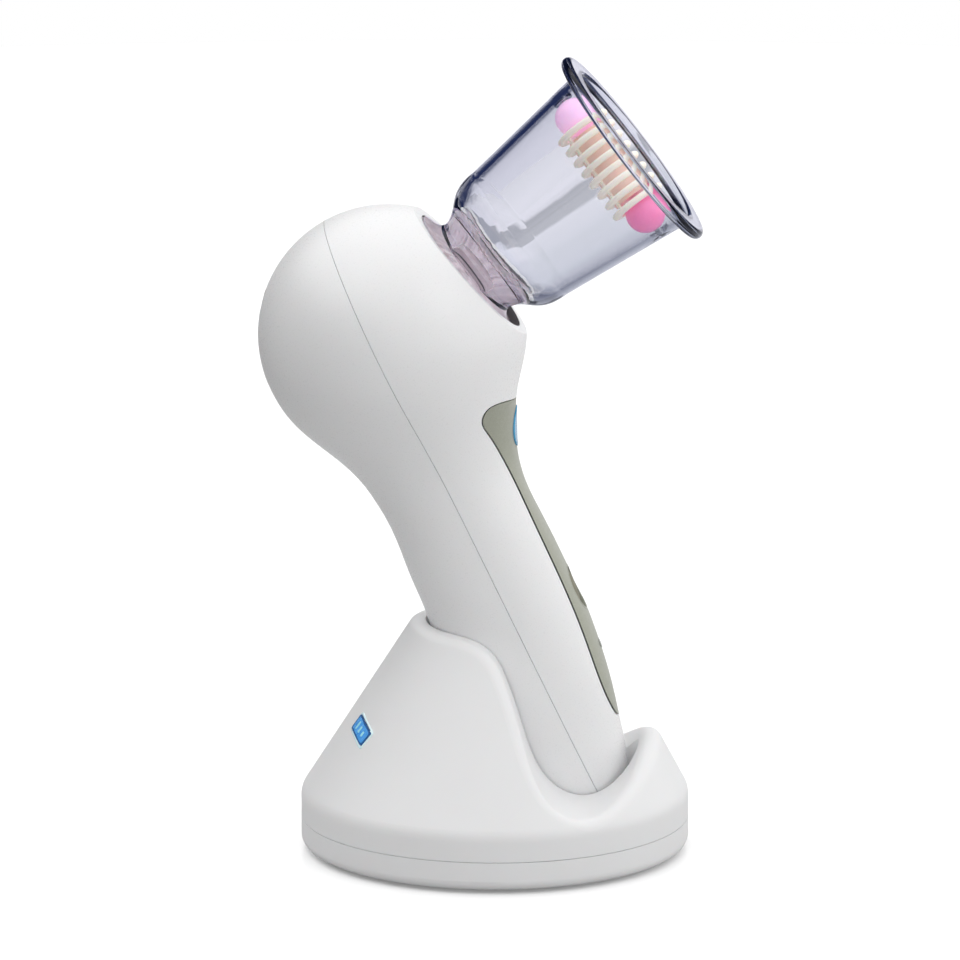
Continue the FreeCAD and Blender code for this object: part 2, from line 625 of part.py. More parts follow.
def handset_shells():
    outer = handset_form(0.0)
    skin = outer.cut(handset_form(SHELL_WALL, FRONT_WALL))
    front = skin.common(half_space(PARTING_POINT, PARTING_RISE, PARTING_GAP))
    rear = skin.cut(half_space(PARTING_POINT, PARTING_RISE, -PARTING_GAP))
    keep("front_shell", front_shell(front, panel_prism(0).cut(handset_form(PANEL_DEPTH))))
    keep("rear_shell", rear_shell(rear))
    plate = outer.common(panel_prism(PANEL_GAP)).cut(handset_form(PANEL_T))
    plate = cut(plate, button_opening(0, 15, 40), cylinder(1.6, 14, 40, LENS_FRAME))
    raised, seat = handset_form(-0.35), handset_form(0.6)
    keep("panel_badge", badge_on_panel(0).common(raised).cut(seat))
    keep("control_panel", plate.cut(badge_on_panel(0.12).cut(handset_form(0.65))))
    for name, (x, end) in SHELL_SCREWS.items():
        keep(f"shell_screw_{name}", screw(2.8, 2.0, 1.25, 30.0, PARTING_FRAME, x, 0.0, SHELL_SCREW_SEAT))


# ---------------------------------------------------------------- electronics in the grip
def electronics():
    board = box((BOARD_X, -11, 0), (BOARD_X + BOARD_T, 11, 66), GRIP_FRAME)
    keep("main_board", cut(board, *[cylinder(1.15, 12, 17, GRIP_X, -z, y) for z, y, end in BOARD_HOLES]))
    screws = [screw(1.9, 1.2, 0.9, 3.8, GRIP_X, -z, y, BOARD_X) for z, y, end in BOARD_HOLES]
    keep("main_board_screws", Part.makeCompound(screws))
    top = BOARD_X + BOARD_T
    body = box((-3, -3, top), (3, 3, top + 3.6), BUTTON_FRAME)
    keep("power_switch", fuse(body, cylinder(1.6, top + 3, top + 4.3, BUTTON_FRAME)))
    keep("status_led", fuse(box((-1.6, -1.6, top), (1.6, 1.6, top + 1), LENS_FRAME),
                            cylinder(1.2, top + 0.5, top + 2.2, LENS_FRAME)))
    keep("status_lens", cylinder(1.55, top + 2.4, 28.1, LENS_FRAME))
    for name, y in (("left", CELL_Y), ("right", -CELL_Y)):
        cell = cylinder(CELL_R, 2.0, 51.6, GRIP_FRAME, CELL_X, y)
        keep(f"battery_cell_{name}", fuse(cell, cylinder(2.7, 51.0, 52.8, GRIP_FRAME, CELL_X, y)))
    cradle = box((-6.8, -15.8, -0.2), (2.0, 15.8, 55.0), GRIP_FRAME)
    for y in (CELL_Y, -CELL_Y):
        cradle = cradle.cut(cylinder(CELL_R + 0.15, 1.6, 53.4, GRIP_FRAME, CELL_X, y))
    keep("battery_cradle", cradle)


def power_button():
    """Crowned oval cap with a flange under the panel and a stem to the switch."""
    base = 23.8
    cap = button_opening(-0.3, base, 27.6)
    crown_r = 34.0
    crown = Part.makeSphere(crown_r, Vector(0, 0, 27.45 - crown_r))
    cap = cap.common(placed(crown, BUTTON_FRAME))
    flange = button_opening(0.8, base, base + 0.7)
    stem = cylinder(1.95, BOARD_X + BOARD_T + 4.3 + BUTTON_TRAVEL, base + 0.5, BUTTON_FRAME)
    keep("power_button", fuse(cap, flange, stem))
    keep("button_spring", coil(3.2, 0.22, 22.0, base, 2, BUTTON_FRAME))


# ---------------------------------------------------------------- suction pump in the head
def pump():
    keep("motor", cut(fuse(cylinder(MOTOR_R, MOTOR_START, MOTOR_END, MOTOR_FRAME),
                           cylinder(3.0, MOTOR_START - 1.6, MOTOR_START + 1, MOTOR_FRAME)),
                      cylinder(1.05, 0, 30, MOTOR_FRAME),
                      *[cylinder(1.0, 5, 9, MOTOR_FRAME, 0, y) for y in (MOTOR_SCREW_Y, -MOTOR_SCREW_Y)]))
    tags = [box((-4, y - 1.4, MOTOR_END), (-3.5, y + 1.4, MOTOR_END + 4), MOTOR_FRAME) for y in (-5, 5)]
    keep("motor_terminals", Part.makeCompound(tags))
    shaft = cylinder(1.0, -4.0, 29.0, MOTOR_FRAME)
    wheel = cylinder(3.9, -2.4, 2.4, MOTOR_FRAME, THROW, 0)
    keep("crank", fuse(shaft, wheel))
    keep("crank_bearing", tube(BEARING_R, 3.9, -2.0, 2.0, MOTOR_FRAME, THROW, 0))
    big_end = BEARING_R + 2 * THROW + 0.1
    rod = fuse(tube(big_end + 2.0, big_end, -2.2, 2.2, MOTOR_FRAME),
               box((-2.2, -3, MOTOR_AT + big_end + 1), (2.2, 3, 5.0), CUP_FRAME),
               cylinder(5.5, 4.6, DIAPHRAGM, CUP_FRAME))
    keep("connecting_rod", rod)
    wall = fuse(box((3.6, -13, -23), (6.0, 13, DECK + 2), CUP_FRAME),
                box((-13, -13, DECK), (6.0, 13, DECK + 2), CUP_FRAME),
                box((-4, -23, DECK), (4, 23, DECK + 2), CUP_FRAME))
    holes = [cylinder(7.4, 0, 8, CUP_FRAME), cylinder(3.1, 0, 9, MOTOR_FRAME)]
    holes += [cylinder(1.1, 0, 9, MOTOR_FRAME, 0, y) for y in (MOTOR_SCREW_Y, -MOTOR_SCREW_Y)]
    holes += [cylinder(1.35, 0, 9, CUP_FRAME, 0, y) for y in (PUMP_SCREW_Y, -PUMP_SCREW_Y)]
    holes += [cylinder(1.05, 0, 9, CUP_FRAME, x, y) for x, y in HEAD_SCREWS]
    keep("pump_frame", cut(wall, *holes))


def square(start, end, grow=0.0):
    """Block of the pump head, with its four screw holes."""
    half = 11.0 + grow
    block = box((-half, -half, start), (half, half, end), CUP_FRAME)
    return cut(block, *[cylinder(1.1, start - 1, end + 1, CUP_FRAME, x, y) for x, y in HEAD_SCREWS])


def pump_head():
    keep("pump_diaphragm", square(DIAPHRAGM, 7.2))
    keep("pump_chamber", cut(square(7.2, 12.5), cylinder(7.2, 7, 8.6, CUP_FRAME),
                             *[cylinder(1.3, 8, 13, CUP_FRAME, x, 0) for x in (-VALVE_X, VALVE_X)]))
    slits = [tube(2.5, 2.0, 12, 14, CUP_FRAME, x, 0).cut(box((x - 3, -1, 11), (x + 3, 4, 15), CUP_FRAME))
             for x in (-VALVE_X, VALVE_X)]
    keep("valve_sheet", cut(square(12.5, 13.3), *slits))
    cover = fuse(square(13.3, 15.0), cylinder(2.2, 14.5, 17.4, CUP_FRAME))
    keep("pump_cover", cover.cut(cylinder(1.2, 13, 18, CUP_FRAME)))
    turn = Placement(Vector(), Rotation(Vector(1, 0, 0), 180))
    head = [screw(1.8, 1.2, 1.0, 9.5, CUP_FRAME.multiply(turn), x, -y, -15.0) for x, y in HEAD_SCREWS]
    keep("pump_head_screws", Part.makeCompound(head))
    mounting = [screw(2.7, 1.8, 1.2, 10.0, CUP_FRAME, 0, y, DECK) for y in (PUMP_SCREW_Y, -PUMP_SCREW_Y)]
    keep("pump_mounting_screws", Part.makeCompound(mounting))
    motor = [screw(1.8, 1.1, 0.9, 4.0, MOTOR_FRAME, 0, y, 3.6) for y in (MOTOR_SCREW_Y, -MOTOR_SCREW_Y)]
    keep("motor_screws", Part.makeCompound(motor))
    keep("suction_hose", tube(3.4, 2.2, 15.2, 20.2, CUP_FRAME))


def socket():
    flange_in, flange_out = RECESS_FLOOR, CUP_SEAT
    ring = turned([
        (1.2, 17.8), (2.2, 17.8), (2.2, 20.6), (15.2, 20.6), (15.2, flange_in), (RECESS_R - 0.2, flange_in),
        (RECESS_R - 0.2, flange_out), (SOCKET_R, flange_out), (SOCKET_R, 28.0), (13.9, 28.0), (13.9, 26.2),
        (SOCKET_R, 26.2), (SOCKET_R, SOCKET_FLOOR), (1.2, SOCKET_FLOOR)], CUP_FRAME)
    keep("socket_ring", ring)
    seal = Part.makeTorus(13.13, 0.75, Vector(0, 0, 27.1), Vector(0, 0, 1))
    keep("socket_seal", placed(seal, CUP_FRAME))


# ---------------------------------------------------------------- cup and roller
def cup_wall_radius(distance):
    share = (distance - BODY_START) / (BODY_END - BODY_START)
    return BODY_START_R + (BODY_END_R - BODY_START_R) * share


def suction_cup():
    lip = BODY_END + FLANGE_T
    edge = FLANGE_T / 2
    mouth_r = cup_wall_radius(lip) - CUP_WALL
    body = turned([
        (AIRWAY_R, 22.6), (SPIGOT_R - 0.6, 22.6), (SPIGOT_R, 23.4), (SPIGOT_R, CUP_SEAT),
        (SKIRT_R, CUP_SEAT), (SKIRT_R, 32.4),
        ("curve", [(20.0, 33.3), (17.6, 34.4), (16.7, 36.0), (17.5, 38.6), (18.9, 40.7), (21.2, 43.2),
                   (23.5, 47.0), (24.3, 50.5), (BODY_START_R, BODY_START)]),
        (BODY_END_R, BODY_END), (FLANGE_R - edge, BODY_END),
        ("arc", (FLANGE_R, BODY_END + edge), (FLANGE_R - edge, lip)),
        (mouth_r + 1.2, lip), ("arc", (mouth_r + 0.35, lip - 0.35), (mouth_r, lip - 1.2)),
        (BODY_START_R - CUP_WALL, BODY_START),
        ("curve", [(21.6, 49.6), (20.0, 46.2), (16.6, 43.0), (13.6, 40.8), (AIRWAY_R + 1.2, 37.6),
                   (AIRWAY_R, 33.0)]),
    ], CUP_FRAME)
    hubs = [cylinder(3.3, 25.6, 27.4, ROLLER_FRAME), cylinder(3.3, -27.4, -25.6, ROLLER_FRAME)]
    body = fuse(body, *hubs)
    keep("suction_cup", body.cut(cylinder(AXLE_R + RUNNING, -27.1, 27.1, ROLLER_FRAME)))


def roller():
    keep("roller_axle", cylinder(AXLE_R, -AXLE_HALF, AXLE_HALF, ROLLER_FRAME))
    core = tube(CORE_R, AXLE_R, -12.6, 12.6, ROLLER_FRAME)
    keep("roller_core", core)
    for name, side in (("upper", -1), ("lower", 1)):
        ball = Part.makeSphere(KNOB_R, Vector(0, 0, side * KNOB_AT))
        ball = ball.cut(box((-9, -9, -12.6), (9, 9, 12.6))).cut(cylinder(AXLE_R, -30, 30))
        keep(f"roller_knob_{name}", placed(ball, ROLLER_FRAME))
    rings = []
    for i in range(RING_COUNT):
        at = (i - (RING_COUNT - 1) / 2) * RING_PITCH
        half, soft = RING_T / 2, 0.7
        rings.append(turned([
            (CORE_R, at - half), (RING_R - soft, at - half),
            ("arc", (RING_R, at), (RING_R - soft, at + half)), (CORE_R, at + half)]))
    end = (RING_COUNT - 1) / 2 * RING_PITCH
    bars = []
    for i in range(BAR_COUNT):
        bar = box((CORE_R, -BAR_HALF, -end), (CORE_R + BAR_H, BAR_HALF, end))
        bar.rotate(Vector(0, 0, 0), Vector(0, 0, 1), 360 * (i + 0.5) / BAR_COUNT)
        bars.append(bar)
    sleeve = fuse(rings[0], *rings[1:], *bars).cut(cylinder(CORE_R, -30, 30))
    keep("roller_sleeve", placed(sleeve, ROLLER_FRAME))


def main():
    for make in (stand, charging, handset_shells, electronics, power_button, pump, pump_head, socket,
                 suction_cup, roller):
        make()
    os.makedirs("parts", exist_ok=True)
    for name, shape in PARTS.items():
        shape.exportStep(f"parts/{name}.step")
    print(len(PARTS), "nodes")


if __name__ == "__main__":
    main()
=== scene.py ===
"""Looks of the vacuum body massager in its charging stand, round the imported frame.  Metres, +Z up."""
import json
import math

import bmesh
import bpy
import numpy as np
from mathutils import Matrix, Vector
from mathutils.bvhtree import BVHTree


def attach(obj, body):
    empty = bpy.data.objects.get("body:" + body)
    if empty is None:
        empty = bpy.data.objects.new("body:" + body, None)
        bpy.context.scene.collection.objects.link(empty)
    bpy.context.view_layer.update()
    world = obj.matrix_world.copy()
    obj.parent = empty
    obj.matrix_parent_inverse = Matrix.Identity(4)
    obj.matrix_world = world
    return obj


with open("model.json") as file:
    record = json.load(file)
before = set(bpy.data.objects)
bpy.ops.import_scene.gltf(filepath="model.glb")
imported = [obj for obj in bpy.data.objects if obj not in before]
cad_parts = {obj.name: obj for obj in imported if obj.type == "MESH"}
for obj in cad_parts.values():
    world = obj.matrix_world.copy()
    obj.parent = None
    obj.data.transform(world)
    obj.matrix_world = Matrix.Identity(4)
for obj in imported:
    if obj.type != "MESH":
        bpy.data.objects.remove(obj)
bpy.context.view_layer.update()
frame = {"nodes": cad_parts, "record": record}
NODES = frame["nodes"]

MM = 0.001
VIEW_CENTRE = Vector((-0.0048, 0.0, 0.1205))    # the point that the camera looks at
VIEW_WIDTH = 0.3072                             # width of the picture at that point
ELEVATION = 12.8                                # degrees
LENS = 330.0                                    # millimetres, on a 36 mm sensor
SENSOR = 36.0
CARD_LEAN = 0.33                                # a painted grey strip on the floor, which clear plastic shows as a dark streak: its run in X for each metre in Y,
CARD_X = -0.314                                 # its X where Y is 0
CARD_HALF = 0.020                               # and half its width


# ---------------------------------------------------------------- materials
class Tree:
    """A node tree under construction, with short calls for the nodes that paints and studio share."""

    def __init__(self, owner):
        owner.use_nodes = True
        self.nodes = owner.node_tree.nodes
        self.links = owner.node_tree.links

    def find(self, kind):
        return next(node for node in self.nodes if node.type == kind)

    def put(self, socket, value):
        """Links a socket to another node's output, or gives it a plain value."""
        if hasattr(value, "is_linked"):
            self.links.new(value, socket)
        else:
            socket.default_value = value

    def add(self, kind, **values):
        """A new node.  A name that isn't one of its inputs is a setting of the node."""
        node = self.nodes.new("ShaderNode" + kind)
        for name, value in values.items():
            if name.replace("_", " ") in node.inputs:
                self.put(node.inputs[name.replace("_", " ")], value)
            else:
                setattr(node, name, value)
        return node

    def math(self, operation, *values):
        node = self.add("Math", operation=operation)
        for socket, value in zip(node.inputs, values):
            self.put(socket, value)
        return node.outputs["Value"]

    def mix(self, share, first, second):
        node = self.add("Mix", data_type="RGBA")
        for socket, value in zip((node.inputs[0], node.inputs[6], node.inputs[7]), (share, first, second)):
            self.put(socket, value)
        return node.outputs[2]

    def remap(self, value, low, high, start=0.0, end=1.0, interpolation="LINEAR"):
        """The value's range from start to end, carried over to low to high."""
        node = self.add("MapRange", interpolation_type=interpolation)
        ends = (("Value", value), ("From Min", start), ("From Max", end), ("To Min", low), ("To Max", high))
        for name, number in ends:
            self.put(node.inputs[name], number)
        return node.outputs["Result"]

    def slope(self, value, start, end, low=0.0, high=1.0):
        """From low before start to high after end, with a soft change between them."""
        return self.remap(value, low, high, start, end, "SMOOTHSTEP")

    def seen(self):
        """Two outputs that are 1 for what the camera sees directly, and through clear plastic."""
        path = self.add("LightPath").outputs
        unscattered = self.math("LESS_THAN", path["Diffuse Depth"], 0.5)
        return path["Is Camera Ray"], self.math("MULTIPLY", path["Is Singular Ray"], unscattered)


class Paint(Tree):
    """A material under construction."""

    def __init__(self, name, **values):
        self.material = bpy.data.materials.new(name)
        super().__init__(self.material)
        self.surface = self.find("BSDF_PRINCIPLED")
        self.output = self.find("OUTPUT_MATERIAL")
        self.place = self.add("TexCoord").outputs["Object"]
        self.edge = None
        for key, value in values.items():
            self.wire(key.replace("_", " "), value)

    def noise(self, scale, detail=3.0):
        node = self.add("TexNoise", Scale=scale, Detail=detail, Roughness=0.55, Vector=self.place)
        return node.outputs["Fac"]

    def split(self):
        """The place in the piece's own X, Y and Z."""
        return self.add("SeparateXYZ", Vector=self.place).outputs

    def wire(self, key, value):
        self.put(self.surface.inputs[key], value)

    def rounded(self, radius):
        """Softens the shading across sharp edges, which then catch the light as moulded edges do."""
        node = self.add("Bevel", samples=4, Radius=radius)
        self.edge = node.outputs["Normal"]
        self.wire("Normal", self.edge)
        return self

    def relief(self, *layers):
        """Bump from (height, depth in metres) layers, finest last."""
        normal = self.edge
        for height, depth in layers:
            node = self.add("Bump", Strength=1.0, Distance=depth, Height=height)
            if normal:
                self.put(node.inputs["Normal"], normal)
            normal = node.outputs["Normal"]
        self.wire("Normal", normal)
        return self


def rgb(r, g, b):
    return (r, g, b, 1.0)


def moulded(name, colour, roughness, grain=1800.0, grain_depth=3e-6, wave_depth=6e-6, tone=0.02,
            edge=0.0, **values):
    """Injection-moulded plastic: faint tone drift, slow waviness of the surface and a fine mould grain."""
    paint = Paint(name, **values)
    if edge:
        paint.rounded(edge)
    darker = rgb(*[c * (1 - tone) for c in colour])
    lighter = rgb(*[min(1.0, c * (1 + tone)) for c in colour])
    drift = paint.remap(paint.noise(35.0, 2.0), 0, 1, 0.35, 0.65)
    paint.wire("Base Color", paint.mix(drift, darker, lighter))
    fine = paint.noise(grain, 2.0)
    paint.wire("Roughness", paint.remap(fine, roughness - 0.04, roughness + 0.04, 0.3, 0.7))
    return paint.relief((paint.noise(140.0, 1.0), wave_depth), (fine, grain_depth))


def plated(name, colour, roughness, scratch=2500.0):
    """Bare or plated metal with fine scratches."""
    paint = Paint(name, Base_Color=rgb(*colour), Metallic=1.0)
    fine = paint.noise(scratch, 4.0)
    paint.wire("Roughness", paint.remap(fine, roughness * 0.7, roughness * 1.4, 0.3, 0.7))
    return paint.relief((fine, 2e-6))


def shell_white():
    return moulded("shell_white", (0.80, 0.80, 0.805), 0.30, grain=2200.0, grain_depth=1.2e-6,
                   wave_depth=3e-6, tone=0.006, edge=0.25 * MM, Subsurface_Weight=0.06,
                   Subsurface_Scale=4 * MM, Coat_Weight=0.15, Coat_Roughness=0.18)


def stand_white():
    return moulded("stand_white", (0.78, 0.78, 0.785), 0.42, grain=2600.0, grain_depth=5e-6,
                   wave_depth=3e-6, tone=0.006, edge=0.3 * MM, Subsurface_Weight=0.05,
                   Subsurface_Scale=4 * MM)


def champagne():
    """Satin metallic lacquer with fine flakes."""
    paint = Paint("champagne", Metallic=0.55, Coat_Weight=0.25, Coat_Roughness=0.2).rounded(0.4 * MM)
    flakes = paint.add("TexVoronoi", Scale=5200.0, Vector=paint.place).outputs["Distance"]
    sparkle = paint.remap(flakes, 0.0, 1.0, 0.1, 0.6)
    paint.wire("Base Color", paint.mix(sparkle, rgb(0.27, 0.28, 0.225), rgb(0.35, 0.36, 0.295)))
    paint.wire("Roughness", paint.remap(paint.noise(900.0), 0.34, 0.46, 0.3, 0.7))
    return paint.relief((flakes, 3e-6))


def olive():
    """Dark satin lacquer of the power button."""
    paint = Paint("olive", Metallic=0.3, Coat_Weight=0.12, Coat_Roughness=0.2)
    drift = paint.remap(paint.noise(240.0), 0.0, 1.0, 0.35, 0.65)
    paint.wire("Base Color", paint.mix(drift, rgb(0.075, 0.066, 0.012), rgb(0.115, 0.10, 0.022)))
    paint.wire("Roughness", paint.remap(paint.noise(1500.0), 0.38, 0.50, 0.3, 0.7))
    return paint.relief((paint.noise(2400.0), 2e-6))


def goes_straight(paint):
    """1 where light passes the clear plastic unbent: in its own shadow, on its way to a dull surface, and
    where the skirt lies on the socket ring, because no air is left between the two faces."""
    path = paint.add("LightPath").outputs
    unbent = paint.math("MAXIMUM", path["Is Shadow Ray"], path["Is Diffuse Ray"])
    axis = Vector(joint("cup_pull")["axis"])
    along = paint.add("VectorMath", operation="DOT_PRODUCT")
    paint.put(along.inputs[0], paint.place)
    paint.put(along.inputs[1], axis)
    contact = 0.03 * MM
    seated = paint.math("COMPARE", along.outputs["Value"], seat_of_cup(axis), contact)
    return paint.math("MAXIMUM", unbent, seated)


def clear_cup():
    """Polished clear plastic with a faint violet-grey tint that deepens along its edges."""
    paint = Paint("clear_cup", Base_Color=rgb(1, 1, 1), Transmission_Weight=1.0, IOR=1.53, Roughness=0.0)
    paint.relief((paint.noise(60.0, 1.0), 2e-5))
    blend = paint.add("MixShader")
    paint.put(blend.inputs[0], goes_straight(paint))
    paint.put(blend.inputs[1], paint.surface.outputs[0])
    paint.put(blend.inputs[2], paint.add("BsdfTransparent").outputs[0])
    paint.put(paint.output.inputs["Surface"], blend.outputs[0])
    tint = paint.add("VolumeAbsorption", Color=rgb(0.60, 0.63, 0.76), Density=42.0)
    paint.put(paint.output.inputs["Volume"], tint.outputs["Volume"])
    return paint


def blue(name, dark, light):
    """Glossy enamel that drifts a little between two colours."""
    paint = Paint(name, Coat_Weight=0.6, Coat_Roughness=0.05)
    drift = paint.remap(paint.noise(260.0), 0.0, 1.0, 0.35, 0.65)
    paint.wire("Base Color", paint.mix(drift, rgb(*dark), rgb(*light)))
    paint.wire("Roughness", paint.remap(paint.noise(1200.0), 0.2, 0.3, 0.3, 0.7))
    return paint.relief((paint.noise(1500.0), 2e-6))


def board_green():
    """Solder mask with faint copper runs under it."""
    paint = Paint("board_green", Roughness=0.3, Coat_Weight=0.4)
    runs = paint.add("TexBrick", Scale=220.0, Vector=paint.place).outputs["Fac"]
    paint.wire("Base Color", paint.mix(runs, rgb(0.01, 0.10, 0.04), rgb(0.03, 0.22, 0.08)))
    return paint.relief((runs, 1.5e-5))


def rubber():
    return moulded("rubber", (0.055, 0.055, 0.06), 0.72, grain=3200.0, grain_depth=1.5e-5, tone=0.1)


def gel(name, colour, roughness, painted_glow):
    """Soft translucent plastic, which passes on a little of the light that goes into it, with a painted glow
    in its own colour on top.
    """
    # The emission is painted light: a glow in the plastic's own colour, though the part is no lamp.
    return moulded(name, colour, roughness, Subsurface_Weight=0.3, Subsurface_Scale=2 * MM,
                   Coat_Weight=0.2, Emission_Color=rgb(*colour), Emission_Strength=painted_glow)


def paints():
    """Every material slot of the record and its paint."""
    made = {
        "white_shell": shell_white(),
        "stand_white": stand_white(),
        "panel_champagne": champagne(),
        "badge_blue": blue("badge_blue", (0.002, 0.09, 0.30), (0.006, 0.12, 0.38)),
        "button_olive": olive(),
        "lens_clear": Paint("lens_clear", Base_Color=rgb(0.93, 0.97, 0.92), Transmission_Weight=0.8,
                            Roughness=0.12),
        "led_white": moulded("led_white", (0.9, 0.9, 0.8), 0.2),
        "rubber_grey": rubber(),
        "screw_steel": plated("zinc_steel", (0.62, 0.63, 0.66), 0.28),
        "board_green": board_green(),
        "contact_gold": plated("gold_plate", (0.90, 0.66, 0.28), 0.22),
        "spring_steel": plated("spring_steel", (0.55, 0.56, 0.58), 0.22),
        "black_plastic": moulded("black_plastic", (0.03, 0.03, 0.032), 0.42, tone=0.1),
        "battery_wrap": moulded("battery_wrap", (0.04, 0.20, 0.45), 0.3, tone=0.05),
        "motor_can": plated("motor_can", (0.55, 0.55, 0.56), 0.32, 1200.0),
        "pump_grey": moulded("pump_grey", (0.32, 0.34, 0.37), 0.45, tone=0.05),
        "silicone": moulded("silicone", (0.72, 0.70, 0.66), 0.4, Subsurface_Weight=0.4,
                            Subsurface_Scale=3 * MM),
        "socket_pink": moulded("socket_pink", (0.80, 0.68, 0.70), 0.28, Subsurface_Weight=0.1,
                               Subsurface_Scale=2 * MM),
        "cup_clear": clear_cup(),
        # The last number of each gel is the strength of its painted glow.
        "roller_ivory": gel("roller_ivory", (0.90, 0.86, 0.78), 0.45, 0.10),
        "roller_pink": gel("roller_pink", (0.98, 0.26, 0.54), 0.25, 0.16),
        "roller_blush": gel("roller_blush", (0.95, 0.66, 0.58), 0.4, 0.06),
    }
    return {slot: paint.material for slot, paint in made.items()}


def dress(obj, slot):
    obj.data.materials.clear()
    obj.data.materials.append(PAINTS[slot])


def smooth(obj, angle=32.0):
    """Smooth shading that keeps every edge sharper than the angle, without moving a vertex."""
    for polygon in obj.data.polygons:
        polygon.use_smooth = True
    obj.data.set_sharp_from_angle(angle=math.radians(angle))


def dress_cad():
    for entry in frame["record"]["subparts"]:
        node = NODES[entry["node"]]
        dress(node, entry["material_slot"])
        smooth(node)


# ---------------------------------------------------------------- draped detail
def surface_of(*names):
    """The surface of some CAD nodes, for finding points on it."""
    joined = bmesh.new()
    for name in names:
        part = NODES[name]
        mesh = part.data.copy()
        mesh.transform(part.matrix_world)
        joined.from_mesh(mesh)
        bpy.data.meshes.remove(mesh)
    tree = BVHTree.FromBMesh(joined)
    joined.free()
    return tree


def points_of(name):
    part = NODES[name]
    return [part.matrix_world @ vertex.co for vertex in part.data.vertices]


def joint(name):
    return next(j for j in frame["record"]["behaviour"]["joints"] if j["name"] == name)


def seat_of_cup(axis):
    """Distance along the axis of the face that the cup's skirt rests on."""
    return max(p.dot(axis) for p in points_of("socket_ring"))


class Spot:
    """A place on the object: an origin, two axes along the surface and the outward normal."""

    def __init__(self, origin, along, out):
        self.origin = Vector(origin)
        self.out = Vector(out).normalized()
        self.along = (Vector(along) - self.out * Vector(along).dot(self.out)).normalized()
        self.across = self.out.cross(self.along)

    def at(self, u, v, w=0.0):
        return self.origin + self.along * u + self.across * v + self.out * w

    def on(self, tree, u, v, lift):
        """The point of the surface under (u, v), raised by lift."""
        reach = 20 * MM
        place = tree.ray_cast(self.at(u, v, reach), -self.out, 2 * reach)[0]
        if place is None:
            return self.at(u, v, lift)
        return place + self.out * lift


def flat_spot(name):
    """The spot of a thin tile: its long axis, and the outward side of its thin axis."""
    cloud = np.array([list(p) for p in points_of(name)])
    middle = cloud.mean(axis=0)
    axes = np.linalg.eigh(np.cov((cloud - middle).T))[1]
    out, along = Vector(axes[:, 0]), Vector(axes[:, 2])
    if out.x * middle[0] + out.y * middle[1] < 0:
        out = -out
    return Spot(middle, along, out)


def spread_of(name, spot):
    """Half sizes of a node along a spot's two axes."""
    shifted = [p - spot.origin for p in points_of(name)]
    along = [p.dot(spot.along) for p in shifted]
    across = [p.dot(spot.across) for p in shifted]
    return (max(along) - min(along)) / 2, (max(across) - min(across)) / 2


def outline(half_u, half_v, squareness, count=64):
    """Closed outline between an ellipse (2) and a rectangle with rounded corners (8 or so)."""
    points = []
    for i in range(count):
        angle = 2 * math.pi * (i + 0.5) / count
        cosine, sine = math.cos(angle), math.sin(angle)
        points.append((half_u * math.copysign(abs(cosine) ** (2 / squareness), cosine),
                       half_v * math.copysign(abs(sine) ** (2 / squareness), sine)))
    return points


def make(name, verts, faces, body, material):
    """A piece from its vertices and faces, which moves with a body."""
    mesh = bpy.data.meshes.new(name)
    mesh.from_pydata(verts, [], faces)
    mesh.validate()
    piece = bpy.data.objects.new(name, mesh)
    bpy.context.scene.collection.objects.link(piece)
    outward = bmesh.new()
    outward.from_mesh(mesh)
    bmesh.ops.recalc_face_normals(outward, faces=outward.faces)
    outward.to_mesh(mesh)
    outward.free()
    mesh.materials.append(material)
    smooth(piece)
    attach(piece, body)


def loops_faces(count, loops, closed):
    """Faces between neighbouring loops of count points; closed joins the last loop to the first."""
    faces = []
    for k in range(loops if closed else loops - 1):
        a, b = k * count, ((k + 1) % loops) * count
        for i in range(count):
            j = (i + 1) % count
            faces.append((a + i, a + j, b + j, b + i))
    return faces


def draped_ring(name, spot, tree, shape, profile, body, material):
    """Closed band on a surface.  Its profile gives how far each edge lies outside the shape, and its
    height, in millimetres."""
    half_u, half_v, squareness = shape
    loops = [(outline(half_u + out * MM, half_v + out * MM, squareness), lift * MM) for out, lift in profile]
    verts = [spot.on(tree, u, v, lift) for points, lift in loops for u, v in points]
    make(name, verts, loops_faces(len(loops[0][0]), len(loops), True), body, material)


def draped_plate(name, spot, tree, shape, low, high, body, material, steps=5):
    """Closed plate on a surface whose two faces follow it at two heights."""
    half_u, half_v, squareness = shape
    shares = [(k + 1) / steps for k in range(steps)]
    loops = [(share, high) for share in shares] + [(share, low) for share in reversed(shares)]
    shapes = [(outline(half_u * share, half_v * share, squareness), lift) for share, lift in loops]
    verts = [spot.on(tree, u, v, lift) for points, lift in shapes for u, v in points]
    count = len(shapes[0][0])
    faces = loops_faces(count, len(shapes), False)
    for lift, start in ((high, 0), (low, (len(shapes) - 1) * count)):
        verts.append(spot.on(tree, 0, 0, lift))
        faces += [(start + i, start + (i + 1) % count, len(verts) - 1) for i in range(count)]
    make(name, verts, faces, body, material)


